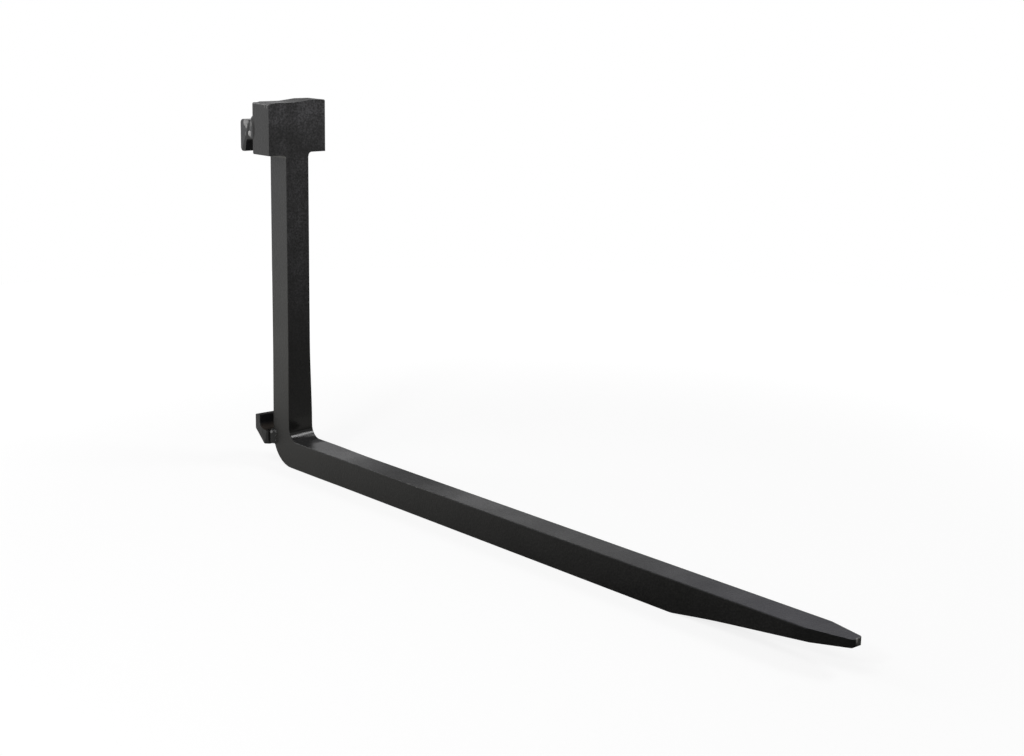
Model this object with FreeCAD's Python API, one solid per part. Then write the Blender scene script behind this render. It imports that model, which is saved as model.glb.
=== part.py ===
import FreeCAD, Part
import math
import os

# Block fork, in millimetres. The origin is the middle of the upper hook's seat, the face that
# hangs on the top of a fork carriage. +Z is up, the blade points towards -Y, X runs across.

# Bar of the arm
BAR_WIDTH = 45.5
BAR_THICKNESS = 48.5
BLADE_LENGTH = 1219.0
HEEL_RADIUS = 52.0
HEEL_INNER_RADIUS = 22.0
EDGE_RADIUS = 1.2

# The bar spreads sideways where it was bent hot, less on the left than on the right
SPREAD_LEFT = 0.8
SPREAD_RIGHT = 3.3
SPREAD_FULL_HEIGHT = 92.0
SPREAD_FADE_HEIGHT = 108.0
SPREAD_FULL_DEPTH = 82.0
SPREAD_FADE_DEPTH = 72.0
SPREAD_BLEND_RADIUS = 1400.0

# Underside of the blade, drawn out towards the tip in two slopes, the near one the steeper
TAPER_NEAR_LENGTH = 73.0
TAPER_NEAR_ANGLE = 8.6
TAPER_FAR_LENGTH = 225.0
TIP_THICKNESS = 11.2
TAPER_START_RADIUS = 60.0
TAPER_BEND_RADIUS = 1500.0
TIP_NOSE_RADIUS = 2.0
TIP_TOP_RADIUS = 1.5

# Sides of the tip, seen from above
TIP_SIDE_LENGTH = 63.0
TIP_WIDTH = 18.5
TIP_CORNER_RADIUS = 5.5
TIP_SHOULDER_RADIUS = 18.0

# Head: heights are measured from the seat, and its flame-cut edges are not quite level
HEAD_WIDTH = 114.0
HEAD_TOP_LEFT = 62.4
HEAD_STEP_START = -48.0
HEAD_STEP_END = -42.0
HEAD_STEP_RISE = 1.2
HEAD_RAMP_START = -4.0
HEAD_RAMP_END = 27.0
HEAD_RAMP_RISE = 3.2
HEAD_BOTTOM_LEFT = 23.9
HEAD_BOTTOM_RISE = 3.4
HEAD_CORNER_RADIUS = 2.5
HEAD_BACK_RADIUS = 2.5
SHOULDER_RADIUS = 6.5

# Carriage that the hooks go over, and how far the heel reaches below it
CARRIAGE_HEIGHT = 508.0
CARRIAGE_PLAY = 2.0
HEEL_DROP = 58.4

# Upper hook
UPPER_SLOT_WIDTH = 22.0
UPPER_SLOT_FLARE = 5.8
UPPER_SLOT_RADIUS = 6.0
UPPER_LIP_DEPTH = 21.5
UPPER_REACH = 38.5
UPPER_ROOT_HEIGHT = 32.7
UPPER_TOP_RADIUS = 7.0
UPPER_TIP_RADIUS = 7.0
UPPER_MOUTH_RADIUS = 1.8
UPPER_END_INSET = 0.4
UPPER_BEVEL_START = 10.3
UPPER_BEVEL_ANGLE = 18.0
UPPER_BEVEL_LEAN = 25.0

# Lower hook
LOWER_SLOT_WIDTH = 21.0
LOWER_SLOT_FLARE = 1.5
LOWER_SLOT_RADIUS = 14.0
LOWER_LIP_HEIGHT = 24.4
LOWER_REACH = 35.0
LOWER_ROOT_DEPTH = 24.4
LOWER_OUTER_DROP = 1.5
LOWER_OUTER_RADIUS = 4.0
LOWER_FOOT_WIDTH = 8.6
LOWER_SIDE_STEP = 15.2
LOWER_CORNER_CHAMFER = 6.0
LOWER_TOP_RADIUS = 2.2
LOWER_FOOT_RADIUS = 0.8
LOWER_BEVEL_START = 6.4
LOWER_BEVEL_ANGLE = 10.0
LOWER_BEVEL_LEAN = -25.0
HOOK_EDGE_RADIUS = 0.8

# Weld along the top of the upper hook
TOP_WELD_LEG = 7.5
TOP_WELD_CROWN = 0.9
TOP_WELD_END_GAP = 1.0

# Welds down the two ends of the upper hook
END_WELD_REACH = 13.5
END_WELD_TOE_INSET = 0.3
END_WELD_REAR_INSET = 2.4
END_WELD_CROWN = 0.9
END_WELD_STOP = 2.6
END_WELD_END_RADIUS = 6.0

# Welds of the lower hook, beside the shank and under the hook
SIDE_WELD_LEG = 5.0
SIDE_WELD_MARGIN = 0.6
SIDE_WELD_END_GAP = 1.2
SIDE_WELD_CROWN = 0.8
BOTTOM_WELD_LEG = 2.0
BOTTOM_WELD_DROP = 7.0
BOTTOM_WELD_CROWN = 0.6
BOTTOM_WELD_END_GAP = 1.5
CURVE_CLEARANCE = 0.3

# Places that follow from the sizes above
BACK_Y = -UPPER_SLOT_WIDTH / 2
FRONT_Y = BACK_Y - BAR_THICKNESS
TIP_Y = FRONT_Y - BLADE_LENGTH
LOWER_FLOOR_Z = -(CARRIAGE_HEIGHT + CARRIAGE_PLAY)
LOWER_BOTTOM_Z = LOWER_FLOOR_Z - LOWER_ROOT_DEPTH
UNDERSIDE_Z = LOWER_FLOOR_Z - HEEL_DROP
BLADE_TOP_Z = UNDERSIDE_Z + BAR_THICKNESS
HALF_BAR = BAR_WIDTH / 2
HALF_HEAD = HEAD_WIDTH / 2
HALF_UPPER = HALF_HEAD - UPPER_END_INSET
HALF_LOWER = HALF_BAR + LOWER_SIDE_STEP
HEEL_HALF_WIDTHS = {-1: HALF_BAR + SPREAD_LEFT, 1: HALF_BAR + SPREAD_RIGHT}
SIDES = {"left": -1, "right": 1}
MARGIN = 10.0


def vec(x, y, z):
    return FreeCAD.Vector(x, y, z)


def rounded_wire(corners, place):
    """Closed wire through corners (a, b, radius); place turns (a, b) into a point."""
    points = [place(a, b) for a, b, radius in corners]
    edges = []
    joins = []
    for index, (a, b, radius) in enumerate(corners):
        corner = points[index]
        if radius == 0:
            joins.append((corner, corner))
            continue
        before = (points[index - 1] - corner).normalize()
        after = (points[(index + 1) % len(corners)] - corner).normalize()
        half_angle = before.getAngle(after) / 2
        setback = radius / math.tan(half_angle)
        inward = (before + after).normalize()
        centre = corner + inward * (radius / math.sin(half_angle))
        arc_start = corner + before * setback
        arc_end = corner + after * setback
        edges.append(Part.Arc(arc_start, centre - inward * radius, arc_end).toShape())
        joins.append((arc_start, arc_end))
    for index, (line_end, next_start) in enumerate(joins):
        line_start = joins[index - 1][1]
        edges.append(Part.LineSegment(line_start, line_end).toShape())
    return Part.Wire(Part.__sortEdges__(edges))


def side_prism(corners, half_width):
    """Solid of a side outline (y, z, radius), symmetric across X."""
    wire = rounded_wire(corners, lambda y, z: vec(-half_width, y, z))
    return Part.Face(wire).extrude(vec(2 * half_width, 0, 0))


def front_prism(corners, y_from, y_to):
    """Solid of a front outline (x, z, radius) between two depths."""
    wire = rounded_wire(corners, lambda x, z: vec(x, y_from, z))
    return Part.Face(wire).extrude(vec(0, y_to - y_from, 0))


def plan_prism(corners, z_from, z_to):
    """Solid of a plan outline (x, y, radius) between two heights."""
    wire = rounded_wire(corners, lambda x, y: vec(x, y, z_from))
    return Part.Face(wire).extrude(vec(0, 0, z_to - z_from))


def half_space(point, normal):
    """Large block on the side of a plane that its normal points to."""
    size = 4 * (HALF_HEAD + UPPER_REACH + CARRIAGE_HEIGHT)
    block = Part.makeBox(size, size, size, vec(-size / 2, -size / 2, 0))
    block.Placement = FreeCAD.Placement(point, FreeCAD.Rotation(vec(0, 0, 1), normal))
    return block


def side_corners(shape):
    """Sharp edges on the left and right of a shape."""
    chosen = []
    for edge in shape.Edges:
        box = edge.BoundBox
        if box.XMin < 0 < box.XMax:
            continue
        middle = edge.valueAt((edge.FirstParameter + edge.LastParameter) / 2)
        faces = shape.ancestorsOfType(edge, Part.Face)
        normals = [face.normalAt(*face.Surface.parameter(middle)) for face in faces]
        if len(normals) == 2 and abs(normals[0].dot(normals[1])) < 0.7:
            chosen.append(edge)
    return chosen


def bar_side_outline():
    """Side view of the bar (y, z, radius), from the head down to the tip and back."""
    shank_top_z = HEAD_TOP_LEFT - HEAD_CORNER_RADIUS
    bend_y = TIP_Y + TAPER_FAR_LENGTH
    bend_rise = TAPER_NEAR_LENGTH * math.tan(math.radians(TAPER_NEAR_ANGLE))
    taper_start_y = bend_y + TAPER_NEAR_LENGTH
    return [
        (BACK_Y, shank_top_z, 0),
        (BACK_Y, UNDERSIDE_Z, HEEL_RADIUS),
        (taper_start_y, UNDERSIDE_Z, TAPER_START_RADIUS),
        (bend_y, UNDERSIDE_Z + bend_rise, TAPER_BEND_RADIUS),
        (TIP_Y, BLADE_TOP_Z - TIP_THICKNESS, TIP_NOSE_RADIUS),
        (TIP_Y, BLADE_TOP_Z, TIP_TOP_RADIUS),
        (FRONT_Y, BLADE_TOP_Z, HEEL_INNER_RADIUS),
        (FRONT_Y, shank_top_z, 0),
    ]


def shank_front_outline():
    """Front view of the bar (x, z, radius): it widens down to the heel."""
    full_z = UNDERSIDE_Z + SPREAD_FULL_HEIGHT
    fade_z = full_z + SPREAD_FADE_HEIGHT
    left = HEEL_HALF_WIDTHS[-1]
    right = HEEL_HALF_WIDTHS[1]
    return [
        (-HALF_BAR, HEAD_TOP_LEFT, 0),
        (-HALF_BAR, fade_z, SPREAD_BLEND_RADIUS),
        (-left, full_z, SPREAD_BLEND_RADIUS),
        (-left, UNDERSIDE_Z - MARGIN, 0),
        (right, UNDERSIDE_Z - MARGIN, 0),
        (right, full_z, SPREAD_BLEND_RADIUS),
        (HALF_BAR, fade_z, SPREAD_BLEND_RADIUS),
        (HALF_BAR, HEAD_TOP_LEFT, 0),
    ]


def blade_plan_outline():
    """View of the bar from above (x, y, radius): it narrows again along the blade."""
    full_y = FRONT_Y - SPREAD_FULL_DEPTH
    fade_y = full_y - SPREAD_FADE_DEPTH
    left = HEEL_HALF_WIDTHS[-1]
    right = HEEL_HALF_WIDTHS[1]
    return [
        (-HALF_BAR, TIP_Y - MARGIN, 0),
        (-HALF_BAR, fade_y, SPREAD_BLEND_RADIUS),
        (-left, full_y, SPREAD_BLEND_RADIUS),
        (-left, BACK_Y + MARGIN, 0),
        (right, BACK_Y + MARGIN, 0),
        (right, full_y, SPREAD_BLEND_RADIUS),
        (HALF_BAR, fade_y, SPREAD_BLEND_RADIUS),
        (HALF_BAR, TIP_Y - MARGIN, 0),
    ]


def bar():
    """Shank, heel and blade of one rectangular bar."""
    shape = side_prism(bar_side_outline(), max(HEEL_HALF_WIDTHS.values()) + MARGIN)
    shape = shape.common(front_prism(shank_front_outline(), TIP_Y - MARGIN, BACK_Y + MARGIN))
    shape = shape.common(plan_prism(blade_plan_outline(), UNDERSIDE_Z - MARGIN, HEAD_TOP_LEFT))
    shape = shape.makeFillet(EDGE_RADIUS, side_corners(shape))
    return shape.cut(tip_sides())


def tip_sides():
    """What is ground off both sides of the tip."""
    start_y = TIP_Y + TIP_SIDE_LENGTH
    half_tip = TIP_WIDTH / 2
    kept = [
        (-half_tip, TIP_Y, TIP_CORNER_RADIUS),
        (half_tip, TIP_Y, TIP_CORNER_RADIUS),
        (HALF_BAR, start_y, TIP_SHOULDER_RADIUS),
        (HALF_BAR, start_y + 2 * MARGIN, 0),
        (-HALF_BAR, start_y + 2 * MARGIN, 0),
        (-HALF_BAR, start_y, TIP_SHOULDER_RADIUS),
    ]
    low = UNDERSIDE_Z - MARGIN
    high = BLADE_TOP_Z + MARGIN
    around = Part.makeBox(
        BAR_WIDTH + 2 * MARGIN, TIP_SIDE_LENGTH + 2 * MARGIN, high - low,
        vec(-HALF_BAR - MARGIN, TIP_Y - MARGIN, low))
    return around.cut(plan_prism(kept, low, high))


def head_block():
    """Wide head with its uneven, flame-cut top and bottom edges."""
    left_bottom = -HEAD_BOTTOM_LEFT
    right_bottom = left_bottom + HEAD_BOTTOM_RISE
    step_z = HEAD_TOP_LEFT + HEAD_STEP_RISE
    right_top = step_z + HEAD_RAMP_RISE
    outline = [
        (-HALF_HEAD, left_bottom, 0),
        (-HALF_BAR, left_bottom, 0),
        (HALF_BAR, right_bottom, 0),
        (HALF_HEAD, right_bottom, 0),
        (HALF_HEAD, right_top, HEAD_CORNER_RADIUS),
        (HEAD_RAMP_END, right_top, 0),
        (HEAD_RAMP_START, step_z, 0),
        (HEAD_STEP_END, step_z, 0),
        (HEAD_STEP_START, HEAD_TOP_LEFT, 0),
        (-HALF_HEAD, HEAD_TOP_LEFT, HEAD_CORNER_RADIUS),
    ]
    shape = front_prism(outline, FRONT_Y, BACK_Y)
    lower_back = []
    for edge in shape.Edges:
        box = edge.BoundBox
        if box.YMin > BACK_Y - 0.001 and box.ZMax < right_bottom + 0.001 and box.XLength > 1:
            lower_back.append(edge)
    return shape.makeFillet(HEAD_BACK_RADIUS, lower_back)


def shoulder(side):
    """Rounded inner corner between the shank and one wing of the head."""
    bottom_z = -HEAD_BOTTOM_LEFT
    if side > 0:
        bottom_z += HEAD_BOTTOM_RISE
    inner_x = side * (HALF_BAR - 2 * EDGE_RADIUS)
    outer_x = side * (HALF_BAR + SHOULDER_RADIUS)
    block = Part.makeBox(
        abs(outer_x - inner_x), BAR_THICKNESS, 2 * SHOULDER_RADIUS,
        vec(min(inner_x, outer_x), FRONT_Y, bottom_z - SHOULDER_RADIUS))
    hollow = Part.makeCylinder(
        SHOULDER_RADIUS, BAR_THICKNESS, vec(outer_x, FRONT_Y, bottom_z - SHOULDER_RADIUS),
        vec(0, 1, 0))
    return block.cut(hollow)


def fork_arm():
    arm = bar().fuse([head_block(), shoulder(-1), shoulder(1)])
    return arm.removeSplitter()


def end_bevel(half_width, crease_y, crease_z, lean, angle, side):
    """Block that bevels one end of a hook; lean tips the crease away from the vertical."""
    lean = math.radians(lean)
    angle = math.radians(angle)
    normal = vec(
        side * math.cos(angle),
        -math.sin(angle) * math.cos(lean),
        -math.sin(angle) * math.sin(lean))
    return half_space(vec(side * half_width, crease_y, crease_z), normal)


def upper_hook():
    """Hook that hangs on the carriage's top edge, open downwards, with bevelled ends."""
    lip_inner_y = BACK_Y + UPPER_SLOT_WIDTH
    outline = [
        (BACK_Y, 0, 0),
        (BACK_Y, UPPER_ROOT_HEIGHT, 0),
        (BACK_Y + UPPER_REACH, UPPER_ROOT_HEIGHT, UPPER_TOP_RADIUS),
        (BACK_Y + UPPER_REACH, -UPPER_LIP_DEPTH, UPPER_TIP_RADIUS),
        (lip_inner_y + UPPER_SLOT_FLARE, -UPPER_LIP_DEPTH, UPPER_MOUTH_RADIUS),
        (lip_inner_y, 0, UPPER_SLOT_RADIUS),
    ]
    shape = side_prism(outline, HALF_UPPER)
    shape = shape.makeFillet(HOOK_EDGE_RADIUS, side_corners(shape))
    crease_y = BACK_Y + UPPER_BEVEL_START
    for side in SIDES.values():
        bevel = end_bevel(
            HALF_UPPER, crease_y, UPPER_ROOT_HEIGHT, UPPER_BEVEL_LEAN, UPPER_BEVEL_ANGLE, side)
        shape = shape.cut(bevel)
    return shape


def lower_hook():
    """Hook that catches the carriage's bottom edge, open upwards, wider than the shank."""
    lip_inner_y = BACK_Y + LOWER_SLOT_WIDTH
    lip_top_z = LOWER_FLOOR_Z + LOWER_LIP_HEIGHT
    outer_y = BACK_Y + LOWER_REACH
    outline = [
        (BACK_Y, LOWER_FLOOR_Z, 0),
        (lip_inner_y, LOWER_FLOOR_Z, LOWER_SLOT_RADIUS),
        (lip_inner_y + LOWER_SLOT_FLARE, lip_top_z, LOWER_TOP_RADIUS),
        (outer_y, lip_top_z, LOWER_TOP_RADIUS),
        (outer_y, LOWER_FLOOR_Z - LOWER_OUTER_DROP, LOWER_OUTER_RADIUS),
        (BACK_Y + LOWER_FOOT_WIDTH, LOWER_BOTTOM_Z, LOWER_FOOT_RADIUS),
        (BACK_Y, LOWER_BOTTOM_Z, 0),
    ]
    shape = side_prism(outline, HALF_LOWER)
    shape = shape.makeFillet(HOOK_EDGE_RADIUS, side_corners(shape))
    crease_y = BACK_Y + LOWER_BEVEL_START
    for side in SIDES.values():
        bevel = end_bevel(
            HALF_LOWER, crease_y, LOWER_BOTTOM_Z, LOWER_BEVEL_LEAN, LOWER_BEVEL_ANGLE, side)
        corner = vec(side * HALF_LOWER, BACK_Y + LOWER_CORNER_CHAMFER, LOWER_FLOOR_Z)
        shape = shape.cut(bevel)
        shape = shape.cut(half_space(corner, vec(side, -1, 0)))
    return shape


def bead(root, first_toe, last_toe, crown, sweep):
    """Weld bead with straight legs from its root to its toes and a bulging face between them."""
    middle = (first_toe + last_toe) / 2
    outward = sweep.cross(last_toe - first_toe).normalize()
    if outward.dot(middle - root) < 0:
        outward = -outward
    edges = [
        Part.LineSegment(root, first_toe).toShape(),
        Part.Arc(first_toe, middle + outward * crown, last_toe).toShape(),
        Part.LineSegment(last_toe, root).toShape(),
    ]
    return Part.Face(Part.Wire(edges)).extrude(sweep)


def upper_hook_top_weld():
    """Fillet weld between the upper hook's top and the back of the head."""
    half_length = HALF_HEAD - TOP_WELD_END_GAP
    return bead(
        vec(-half_length, BACK_Y, UPPER_ROOT_HEIGHT),
        vec(-half_length, BACK_Y + TOP_WELD_LEG, UPPER_ROOT_HEIGHT),
        vec(-half_length, BACK_Y, UPPER_ROOT_HEIGHT + TOP_WELD_LEG),
        TOP_WELD_CROWN, vec(2 * half_length, 0, 0))


def upper_hook_end_weld(side, hook):
    """Weld that fills the groove between the bevelled end of the upper hook and the head."""
    root_x = side * (HALF_UPPER - END_WELD_REACH)
    shape = bead(
        vec(root_x, BACK_Y, END_WELD_STOP),
        vec(side * (HALF_HEAD - END_WELD_TOE_INSET), BACK_Y, END_WELD_STOP),
        vec(side * (HALF_HEAD - END_WELD_REAR_INSET), BACK_Y + END_WELD_REACH, END_WELD_STOP),
        END_WELD_CROWN, vec(0, 0, UPPER_ROOT_HEIGHT - END_WELD_STOP))
    rounded_end = [
        (BACK_Y, END_WELD_STOP, 0),
        (BACK_Y + END_WELD_REACH, END_WELD_STOP, END_WELD_END_RADIUS),
        (BACK_Y + END_WELD_REACH, UPPER_ROOT_HEIGHT, 0),
        (BACK_Y, UPPER_ROOT_HEIGHT, 0),
    ]
    return shape.common(side_prism(rounded_end, HEAD_WIDTH)).cut(hook)


def lower_hook_side_weld(side):
    """Upright fillet weld between the shank's side and the front of the lower hook."""
    shank_x = side * HEEL_HALF_WIDTHS[side]
    toe_x = side * (HALF_LOWER - LOWER_CORNER_CHAMFER - SIDE_WELD_MARGIN)
    low = LOWER_BOTTOM_Z + SIDE_WELD_END_GAP
    high = LOWER_FLOOR_Z - SIDE_WELD_END_GAP
    return bead(
        vec(shank_x, BACK_Y, low),
        vec(toe_x, BACK_Y, low),
        vec(shank_x, BACK_Y - SIDE_WELD_LEG, low),
        SIDE_WELD_CROWN, vec(0, 0, high - low))


def lower_hook_bottom_weld():
    """Weld under the lower hook, lying against the outside of the heel."""
    half_length = HALF_BAR - BOTTOM_WELD_END_GAP
    heel_centre_y = BACK_Y - HEEL_RADIUS
    heel_centre_z = UNDERSIDE_Z + HEEL_RADIUS
    toe_z = LOWER_BOTTOM_Z - BOTTOM_WELD_DROP
    toe_y = heel_centre_y + math.sqrt(HEEL_RADIUS ** 2 - (heel_centre_z - toe_z) ** 2)
    shape = bead(
        vec(-half_length, toe_y, LOWER_BOTTOM_Z),
        vec(-half_length, BACK_Y + BOTTOM_WELD_LEG, LOWER_BOTTOM_Z),
        vec(-half_length, toe_y, toe_z),
        BOTTOM_WELD_CROWN, vec(2 * half_length, 0, 0))
    heel = Part.makeCylinder(
        HEEL_RADIUS + CURVE_CLEARANCE, BAR_WIDTH, vec(-HALF_BAR, heel_centre_y, heel_centre_z),
        vec(1, 0, 0))
    return shape.cut(heel)


def main():
    os.makedirs("parts", exist_ok=True)
    hook = upper_hook()
    pieces = {
        "fork_arm": fork_arm(),
        "upper_hook": hook,
        "lower_hook": lower_hook(),
        "upper_hook_top_weld": upper_hook_top_weld(),
        "lower_hook_bottom_weld": lower_hook_bottom_weld(),
    }
    for name, side in SIDES.items():
        pieces["upper_hook_" + name + "_weld"] = upper_hook_end_weld(side, hook)
        pieces["lower_hook_" + name + "_weld"] = lower_hook_side_weld(side)
    for name, shape in pieces.items():
        print(name, shape.isValid(), len(shape.Solids), round(shape.Volume))
        shape.exportStep("parts/" + name + ".step")


main()
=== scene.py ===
import math

import bpy
from mathutils import Matrix, Quaternion, Vector


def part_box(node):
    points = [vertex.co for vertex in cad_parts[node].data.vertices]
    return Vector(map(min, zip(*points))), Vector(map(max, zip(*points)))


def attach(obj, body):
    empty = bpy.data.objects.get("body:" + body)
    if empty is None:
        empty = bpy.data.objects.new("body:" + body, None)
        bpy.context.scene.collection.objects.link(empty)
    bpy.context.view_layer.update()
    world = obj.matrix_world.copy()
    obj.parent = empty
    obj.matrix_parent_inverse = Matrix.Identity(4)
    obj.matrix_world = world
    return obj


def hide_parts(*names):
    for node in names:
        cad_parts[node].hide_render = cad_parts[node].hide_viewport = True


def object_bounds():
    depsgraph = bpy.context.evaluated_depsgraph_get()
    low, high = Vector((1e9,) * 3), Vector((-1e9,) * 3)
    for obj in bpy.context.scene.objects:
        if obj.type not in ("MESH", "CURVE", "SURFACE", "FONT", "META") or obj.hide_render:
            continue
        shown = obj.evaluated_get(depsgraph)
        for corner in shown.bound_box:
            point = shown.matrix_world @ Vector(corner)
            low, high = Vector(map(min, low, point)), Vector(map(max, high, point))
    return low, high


# Block fork: the welded fork arm in black paint, on a pale studio floor.
# Metres, +Z up, the blade points towards -Y, the origin is the upper hook's seat.

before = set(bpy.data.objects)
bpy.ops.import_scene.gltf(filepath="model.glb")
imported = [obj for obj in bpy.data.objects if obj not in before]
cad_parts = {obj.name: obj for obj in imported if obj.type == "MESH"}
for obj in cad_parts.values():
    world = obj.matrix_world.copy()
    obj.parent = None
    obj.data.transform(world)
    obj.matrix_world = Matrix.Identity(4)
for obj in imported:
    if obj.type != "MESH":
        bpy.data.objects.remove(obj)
cad_low, cad_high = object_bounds()

BODY = "root"

# Camera: place, and the way it looks in degrees from +Y, below level, and rolled
CAMERA_PLACE = (-1.6729, -2.5247, 0.2667)
CAMERA_HEADING = 41.28
CAMERA_DIP = 12.79
CAMERA_ROLL = 1.01
LENS_MM = 61.31
SENSOR_MM = 36.0
FARTHEST_SEEN = 50

# Studio
FLOOR_RADIUS = 2.6
FLOOR_SIDES = 96
FLOOR_COLOUR = 0.22
FLOOR_IN_PAINT = 0.05
# The floor's own light, near the fork and at the rim, and the distances where each holds
FLOOR_LIFT = (0.83, 1.0)
FLOOR_LIFT_RISE = (0.7, 2.34)
# The way in which the floor gets brighter in the paint, and from where to where
FLOOR_SHINE_WAY = (-0.6, 0.8, 0.0)
FLOOR_SHINE_RISE = (-0.68, 0.99)
# Light of the front and back walls, and how far towards the back each of them lies
WALL_LIGHT = (0.36, 1.0)
WALL_RISE = (-0.3, 0.8)
# Share of that light on the walls and on the ceiling, and how far up each of them lies
CEILING_SHARE = (1.0, 0.18)
CEILING_RISE = (0.25, 0.52)
WALL_TINT = (0.988, 0.988, 1.0, 1)
FLOOR_TINT = (1.0, 0.99, 0.95, 1)
WHITE = (1, 1, 1, 1)
# Softboxes: name, place, point they face, width, height, brightness
SOFTBOXES = (
    ("front right softbox", (1.635, -1.71, 1.38), (0, -0.063, -0.51), 1.10, 0.62, 7.4),
    ("front left softbox", (-2.2, -1.4, 0.9), (0, -0.05, -0.25), 0.40, 0.30, 40.0),
    ("rear left softbox", (-0.70, 1.60, 0.90), (0, -0.35, -0.45), 1.2, 0.6, 5.0),
    ("overhead left softbox", (-1.4, -0.6, 2.0), (0, -0.5, -0.4), 1.6, 1.6, 2.2),
)

# Inside of the bend, pressed smooth. Its surface leans by these shares of one direction: all
# over, more where it starts on the shank, and up or down beside a flat stretch on the right.
# Each rise says how far the surface faces up where that lean changes.
BEND_AXIS = (0.0, -0.0815, -0.4979)
BEND_RADIUS = 0.022
BEND_HALF_WIDTH = 0.0225
BEND_LEAN = (0, 0.56, 0.83)
BEND_TURN = -0.135
BEND_START_TURN = (-0.15, 0.0)
BEND_START_RISE = (0.36, 0.52)
BEND_FLAT_TURN = (0.115, -0.15)
BEND_FLAT_RISE = (0.66, 0.82)
# Distances from the bend's axis over which its smooth finish ends, and the flats' waves start
BEND_FADE = (BEND_RADIUS * 1.05, BEND_RADIUS * 1.5)
WAVES_RISE = (BEND_RADIUS * 1.3, BEND_RADIUS * 4.0)
# How far the bend faces up where its extra gloss starts to fade and where it has turned dull,
# and the share of that gloss which it has at each
GLINT_FADE = (0.78, 0.94)
GLINT_LEFT = (1.0, -0.4)

# Dull or glossy stretches on the blade's top: start, middle and end along Y, and the roughness
# they add
BLADE_STRETCHES = (
    (-0.20, -0.37, -0.52, 0.21),
    (-0.30, -0.95, -1.45, 0.05),
    (-0.10, -0.16, -0.28, -0.02),
)

# Where a finish starts and where it is full: in Z up the shank and head, in Y down the blade
# Up the shank and head the front's grain grows, and its scale specks grow with it as painted light
GRAIN_AND_LIGHT_RISE = (-0.47, -0.10)
HEAD_RISE = (-0.045, -0.02)
# Painted light: the specks on the head's front get lighter towards its top
PAINTED_LIGHT_RISE = (0.005, 0.055)
BLUISH_RISE = (-0.80, -1.18)
# Painted shade: the tapered sides near the tip are darkened from the first place along Y to the
# second
PAINTED_SIDE_SHADE_RISE = (-1.186, -1.202)
# Left and right edge of the head's top, between which it gets duller
HEAD_TOP_SPAN = (-0.05, 0.05)
# Heights between which the upper hook's finish starts, and the lower hook's going down
UPPER_HOOK_RISE = (-0.3, -0.1)
LOWER_HOOK_RISE = (-0.2, -0.4)

# How far a face has to point a way: shares at which it starts to count and counts in full
FACES_UP = (0.6, 0.95)
FACES_SIDEWAYS = (0.6, 0.9)
FACES_FRONT = (0.6, 0.9)
SLOT_FLOOR_FACES_UP = (0.2, 0.8)
RIM_FACES_UP = (0.5, 0.9)
BEND_SIDE_FACES = (0.15, 0.45)

# Part of each unevenness that counts, from its hollows to its tops
PEEL_SPREAD = (0.25, 0.60)
PATCH_SPREAD = (0.3, 0.7)
DIRT_SPREAD = (0.3, 0.6)
BLOTCH_SPREAD = (0.35, 0.65)
SPECKLE_SPREAD = (0.35, 0.75)
GRAIN_SPREAD = (0.36, 0.76)
CLUMP_SPREAD = (0.35, 0.68)
WEAR_SPREAD = (0.42, 0.62)
# How many waves, blotches or lumps go to a metre
ARM_WAVES_PER_METRE = 26.0
BLOTCHES_PER_METRE = 20.0
HOOK_LUMPS_PER_METRE = 110.0
WELD_LUMPS_PER_METRE = 420.0
# Lines of the cutting flame along X, Y and Z, and how much they waver
CUT_LINES_PER_METRE = (520.0, 24.0, 520.0)
CUT_LINE_WAVER = 0.4
# Cosine of the angle that an edge is rounded by, where wear starts and where it is full
EDGE_TURN = (0.995, 0.86)
# Where a spot starts to fade and where it ends, in shares of its size
SPOT_FADE = (0.55, 1.15)

# Relief: strength and height of each layer
ARM_WAVES = (0.25, 0.0010)
ARM_CUT_LINES = (0.30, 0.0006)
ARM_GRAIN = (0.65, 0.0008)
ARM_PEEL = (0.80, 0.0005)
HOOK_LUMPS = (0.45, 0.0010)
HOOK_CUT_LINES = (0.25, 0.0005)
HOOK_PEEL = (0.60, 0.0002)
WELD_LUMPS = (0.25, 0.0004)
# Share of the peel that is left in the bend, and of the clumps in the grain's relief
PEEL_IN_BEND = 0.06
CLUMP_RELIEF = 0.3

# Roughness of the paint in its glossy and its dull patches
ARM_GLOSS = (0.36, 0.44)
HOOK_GLOSS = (0.26, 0.40)
WELD_GLOSS = (0.22, 0.36)
# Roughness that a place adds or takes away, in the bend at its left and right end
GRAIN_ROUGHER = 0.08
HEAD_TOP_ROUGHER = 0.15
HEAT_ROUGHER = 0.40
HIGH_SIDE_SMOOTHER = 0.03
BEND_SMOOTHER = (0.22, 0.18)
# The crevices' painted shade also dulls them, and takes away a share of their sheen through
# metallic
CREVICE_ROUGHER = 0.55
CREVICE_SHEEN_LOST = 0.65

# How much of a colour shows
SPECKLE_SHARE = 0.28
DUST_SHARE = 0.25
PAINTED_SIDE_SHADE_SHARE = 0.6
BLUISH_SHARE = 0.75
ARM_WEAR_SHARE = (0.12, 0.35)
HOOK_WEAR_SHARE = 0.6
WELD_WEAR_SHARE = 0.15
UPPER_HOOK_SHARE = 0.4
SPECK_SHARE = (0.12, 0.84)
BLOTCH_SHARE = (0.65, 1.1)
CLUMP_SHARE = (0.68, 1.0)
PAINTED_LIGHT_SHARE = (1.0, 2.1)
DIRT_SHARE = (0.6, 1.0)
# The same for bare steel and the painted highlights shown as bare steel, in the hollows and on the
# tops of the paint's peel
ARM_RUB_HIGHLIGHT_SHARE = (0.5, 1.0)
HOOK_BARE_HIGHLIGHT_SHARE = (0.55, 1.0)
WELD_BARE_HIGHLIGHT_SHARE = (0.45, 1.0)

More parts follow.
